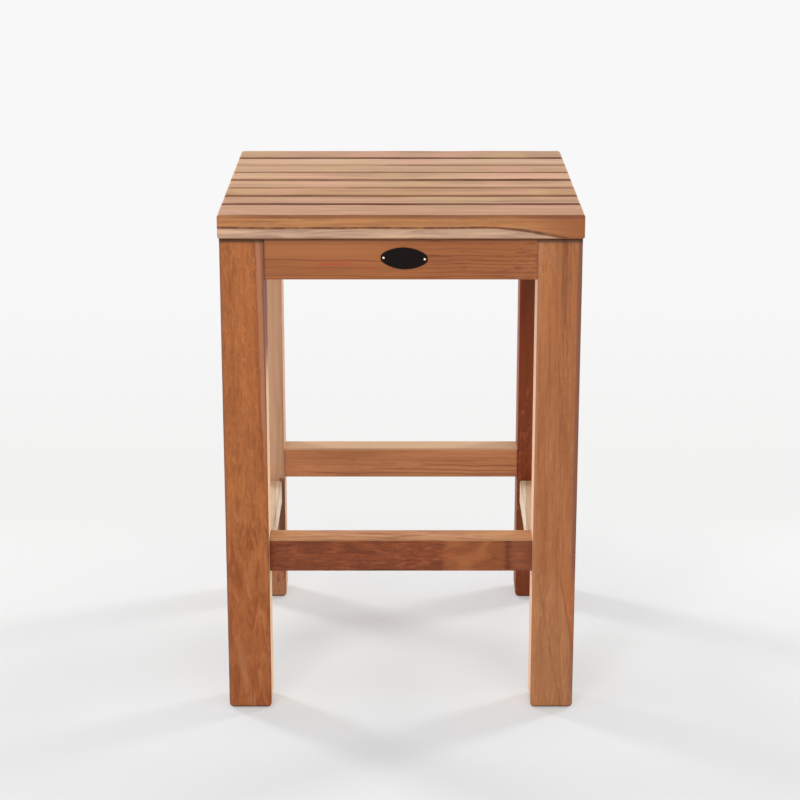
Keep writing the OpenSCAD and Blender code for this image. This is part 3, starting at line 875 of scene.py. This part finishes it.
def legs():
    """Four legs from one tree, with feet that are rounder than their long edges."""
    bar = eased_bar_maker(upright=True)
    woods = {
        "leg_front_left": (left_front_leg(), "teak_golden"),
        "leg_front_right": (right_front_leg(), "teak_tan"),
        "leg_back_left": (left_back_leg(), "teak_tan"),
        "leg_back_right": (right_back_leg(), "teak_dark"),
    }
    for number, (node, (wood, slot)) in enumerate(woods.items(), 1):
        low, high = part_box(node)
        piece = bar.make(
            f"eased_{node}", finish=wood, middle=(low + high) / 2, half=(high - low) / 2,
            edge_ease=1.6 * MM, end_ease=5.5 * MM, wear=0.12 * MM, skew=0.0, seed=number * 3.9,
        )
        stand_in(piece, slot, node)


def top_slats():
    """Eight slats from one tree, each a little different in its wear and its lie."""
    bar = eased_bar_maker()
    skews = (0.0, 0.0012, -0.0008, 0.0016, -0.0012, 0.0010, -0.0018, 0.0)
    drops = (0.0, 0.25, 0.1, 0.35, 0.0, 0.3, 0.1, 0.2)
    for number, (skew, drop) in enumerate(zip(skews, drops), 1):
        node = f"slat_{number}"
        low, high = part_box(node)
        wood = front_slat() if number == 1 else top_slat(number)
        outer = number in (1, 8)
        piece = bar.make(
            f"top_{node}", finish=wood, middle=(low + high) / 2 - Vector((0, 0, drop * MM)),
            half=(high - low) / 2, edge_ease=2.0 * MM, end_ease=(3.5 if outer else 2.5) * MM,
            wear=0.35 * MM, skew=skew, seed=number * 5.7,
        )
        stand_in(piece, "teak_golden" if number == 1 else "teak_top", node)


def hidden_fixings():
    """Screws and dowels, in the places that the construction gives them."""
    screw = screw_maker()
    metal = steel()
    low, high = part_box("slat_screws")
    length = high.z - low.z
    head = 4 * MM
    sizes = dict(length=length, head=head, thread=2 * MM, core=1.45 * MM, pitch=1.9 * MM)
    piece = screw.make(
        "screws_up_into_slats", finish=metal, count=6, apart=high.x - low.x - 2 * head,
        span=high.y - low.y - 2 * head, middle=Vector((0, 0, low.z)), seed=3, tilt=0.0, **sizes,
    )
    stand_in(piece, "screw_steel", "slat_screws")
    low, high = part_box("batten_screws")
    piece = screw.make(
        "screws_out_into_aprons", finish=metal, count=3, apart=high.x - low.x - 2 * length,
        span=high.y - low.y - 2 * head, middle=(low + high) / 2, seed=8, tilt=math.pi / 2, **sizes,
    )
    stand_in(piece, "screw_steel", "batten_screws")
    low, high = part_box("top_dowels")
    radius = 4 * MM
    piece = dowel_maker().make(
        "fluted_dowels", finish=dowel_wood(), count=2, apart=high.x - low.x - 2 * radius,
        span=high.y - low.y - 2 * radius, middle=Vector((0, 0, low.z)), seed=5,
        length=high.z - low.z, radius=radius, flutes=24.0, chamfer=1 * MM,
    )
    stand_in(piece, "teak_cream", "top_dowels")


def oval_outline(width, height, end_radius):
    """Points round an oval of four arcs that run smoothly into each other."""
    end_x = width / 2 - end_radius
    rise = height / 2 - end_radius
    drop = (end_x * end_x - rise * rise) / (2 * rise)
    side_radius = height / 2 + drop
    join = math.atan2(drop, end_x)
    arcs = (
        (end_x, 0.0, end_radius, -join, join, 16),
        (0.0, -drop, side_radius, join, math.pi - join, 32),
        (-end_x, 0.0, end_radius, math.pi - join, math.pi + join, 16),
        (0.0, drop, side_radius, math.pi + join, 2 * math.pi - join, 32),
    )
    points = []
    for x, y, radius, start, end, steps in arcs:
        for step in range(steps):
            angle = start + (end - start) * step / steps
            points.append((x + radius * math.cos(angle), y + radius * math.sin(angle)))
    return points


def name_plate():
    """Bare oval plate with a turned-over edge, a little aslant on the front apron."""
    low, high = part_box("name_plate")
    middle = (low + high) / 2
    width, thickness, height = high - low
    edge = 0.35 * MM
    edge_steps = 4
    tilt = math.radians(2)
    end_radius = 5 * MM
    levels = [(0.0, 0.0)]
    for step in range(edge_steps + 1):
        angle = math.pi / 2 * step / edge_steps
        levels.append((edge * (1 - math.cos(angle)), thickness - edge * (1 - math.sin(angle))))
    shape = bmesh.new()
    rings = []
    for inset, out in levels:
        outline = oval_outline(width - 2 * inset, height - 2 * inset, end_radius - inset)
        ring = []
        for x, z in outline:
            across = x * math.cos(tilt) + z * math.sin(tilt)
            up = z * math.cos(tilt) - x * math.sin(tilt)
            ring.append(shape.verts.new((middle.x + across, high.y - out, middle.z + up)))
        rings.append(ring)
    count = len(rings[0])
    for inner, outer in zip(rings, rings[1:]):
        for i in range(count):
            j = (i + 1) % count
            shape.faces.new((inner[i], inner[j], outer[j], outer[i]))
    shape.faces.new(rings[-1])
    shape.faces.new(reversed(rings[0]))
    bmesh.ops.recalc_face_normals(shape, faces=shape.faces[:])
    data = bpy.data.meshes.new("oval_plate")
    shape.to_mesh(data)
    shape.free()
    data.materials.append(plate_finish())
    piece = bpy.data.objects.new("oval_plate", data)
    bpy.context.scene.collection.objects.link(piece)
    stand_in(piece, "plate_black", "name_plate")


def plate_finish():
    """Near-black satin enamel."""
    enamel = Finish("plate_enamel")
    speck = enamel.speckle(1800.0)
    colour = enamel.mix(speck, tone(14, 6, 7), tone(22, 11, 12))
    return enamel.surface(colour, 0.5 + speck * 0.1, speck, 0.02 * MM, IOR=1.2)


def bare_metal(name, scale, dark, pale, roughness):
    """Bare metal with a fine speckle between two tones."""
    metal = Finish(name)
    speck = metal.speckle(scale)
    colour = metal.mix(speck, tone(*dark), tone(*pale))
    return metal.surface(colour, roughness + speck * 0.12, speck, 0.01 * MM, Metallic=1.0)


def brass():
    return bare_metal("pin_brass", 2400.0, (232, 206, 176), (250, 232, 208), 0.22)


def steel():
    return bare_metal("screw_steel", 1500.0, (176, 178, 180), (206, 207, 208), 0.28)


def dowel_wood():
    """Pale wood of the dowels."""
    teak = Teak("top_dowels", "z", 40)
    teak.grow(heart=(30, 20), spacing=4.0)
    teak.colour_grain((216, 184, 148), 0.12)
    return teak.done()


def dress_wood():
    """Gives the aprons, stretchers and battens of the construction their wood."""
    clothe("apron_front", front_apron())
    clothe("apron_back", back_apron())
    clothe("apron_left", side_apron("apron_left", 6))
    clothe("apron_right", side_apron("apron_right", 7))
    clothe("stretcher_front", front_stretcher())
    clothe("stretcher_back", back_stretcher())
    clothe("stretcher_left", side_stretcher("stretcher_left", 11))
    clothe("stretcher_right", side_stretcher("stretcher_right", 12))
    clothe("batten_left", batten("batten_left", 13))
    clothe("batten_right", batten("batten_right", 14))


def floor():
    """Pale studio floor, wide enough to fill every view. It takes shadows near the stool and
    glows evenly further off, where it runs into the background."""
    reach = 30.0
    corners = [(-reach, -reach, 0), (reach, -reach, 0), (reach, reach, 0), (-reach, reach, 0)]
    data = bpy.data.meshes.new("floor")
    data.from_pydata(corners, [], [(0, 1, 2, 3)])
    plane = bpy.data.objects.new("floor", data)
    bpy.context.scene.collection.objects.link(plane)
    paint = Finish("floor_paint")
    x, y = paint.split(paint.place)[:2]
    distance = (x * x + y * y).root()
    colour = paint.mix(paint.speckle(3.0), tone(232, 232, 231), tone(236, 236, 235))
    # Painted cool tint near the stool, set against the warm light that the wood throws on the
    # floor.
    near = 1 - paint.rise(distance, 0.12, 0.5)
    colour = paint.mix(near, colour, tone(232, 237, 239))
    matt = paint.node("ShaderNodeBsdfDiffuse", {}, {"Color": colour})
    depth = paint.rise(y, 0.3, 1.6)
    far_colour = paint.mix(depth, tone(242, 242, 241), tone(248, 248, 248))
    far = paint.node("ShaderNodeEmission", {}, {"Color": far_colour, "Strength": 1.0})
    away = (paint.rise(distance, 0.45, 1.4).above(paint.rise(y, 0.2, 0.5)) + 0.35).below(1.0)
    shader = paint.node("ShaderNodeMixShader", {}, {0: away, 1: matt, 2: far})
    paint.node("ShaderNodeOutputMaterial", {}, {"Surface": shader})
    data.materials.append(paint.material)


def backdrop():
    """Pale surroundings: what the camera and the gloss see, and the even light they give."""
    world = bpy.data.worlds.new("studio")
    bpy.context.scene.world = world
    world.use_nodes = True
    sky = Tree(world.node_tree)
    sky.tree.nodes.clear()
    seen, even = [
        sky.node("ShaderNodeBackground", {}, {"Color": colour, "Strength": strength})
        for colour, strength in ((tone(247, 247, 247), 1.0), ((0.95, 0.97, 1.0, 1.0), 0.48))
    ]
    rays = [
        sky.node("ShaderNodeLightPath", output=name)
        for name in ("Is Camera Ray", "Is Glossy Ray", "Is Transmission Ray")
    ]
    share = rays[0].above(rays[1]).above(rays[2])
    shader = sky.node("ShaderNodeMixShader", {}, {0: share, 1: even, 2: seen})
    sky.node("ShaderNodeOutputWorld", {}, {"Surface": shader})


def softbox(name, place, aim, width, height, power):
    """Square lamp at a place, turned towards an aim, with its size in metres and its power
    in watts."""
    lamp = bpy.data.lights.new(name, "AREA")
    lamp.shape = "RECTANGLE"
    lamp.size = width
    lamp.size_y = height
    lamp.energy = power
    held = bpy.data.objects.new(name, lamp)
    bpy.context.scene.collection.objects.link(held)
    held.location = place
    held.rotation_euler = (Vector(aim) - Vector(place)).to_track_quat("-Z", "Y").to_euler()


def lights():
    """Two tall strip softboxes low behind the stool at its sides, which rim the legs and
    cross their shadows on the floor, a small key at the front left, a wide fill in front
    and a large soft one overhead."""
    middle = (0.0, 0.0, 0.2)
    softbox("strip_left", (-1.78, 1.36, 0.77), middle, 0.46, 1.54, 35)
    softbox("strip_right", (1.6, 0.92, 0.62), middle, 0.38, 1.24, 22)
    softbox("key", (-0.9, -2.3, 1.35), middle, 0.5, 0.5, 12)
    softbox("fill", (0.3, -2.5, 1.7), middle, 2.4, 1.6, 12)
    softbox("overhead", (0.0, 0.0, 2.8), middle, 3.2, 3.2, 14)


def camera():
    """Camera in front of the stool and above its top, looking down at it."""
    tilt_down = 16.484
    lens = bpy.data.cameras.new("camera")
    lens.lens = 99.82
    lens.sensor_width = 36
    lens.clip_start = 0.05
    lens.clip_end = 100
    held = bpy.data.objects.new("camera", lens)
    bpy.context.scene.collection.objects.link(held)
    held.location = (-0.0008, -1.9693, 0.8242)
    held.rotation_euler = (math.radians(90 - tilt_down), 0, 0)
    bpy.context.scene.camera = held


camera()
floor()
backdrop()
lights()
dress_wood()
legs()
top_slats()
hidden_fixings()
name_plate()
clothe("plate_pins", brass())

bpy.context.scene.view_settings.view_transform = "Standard"
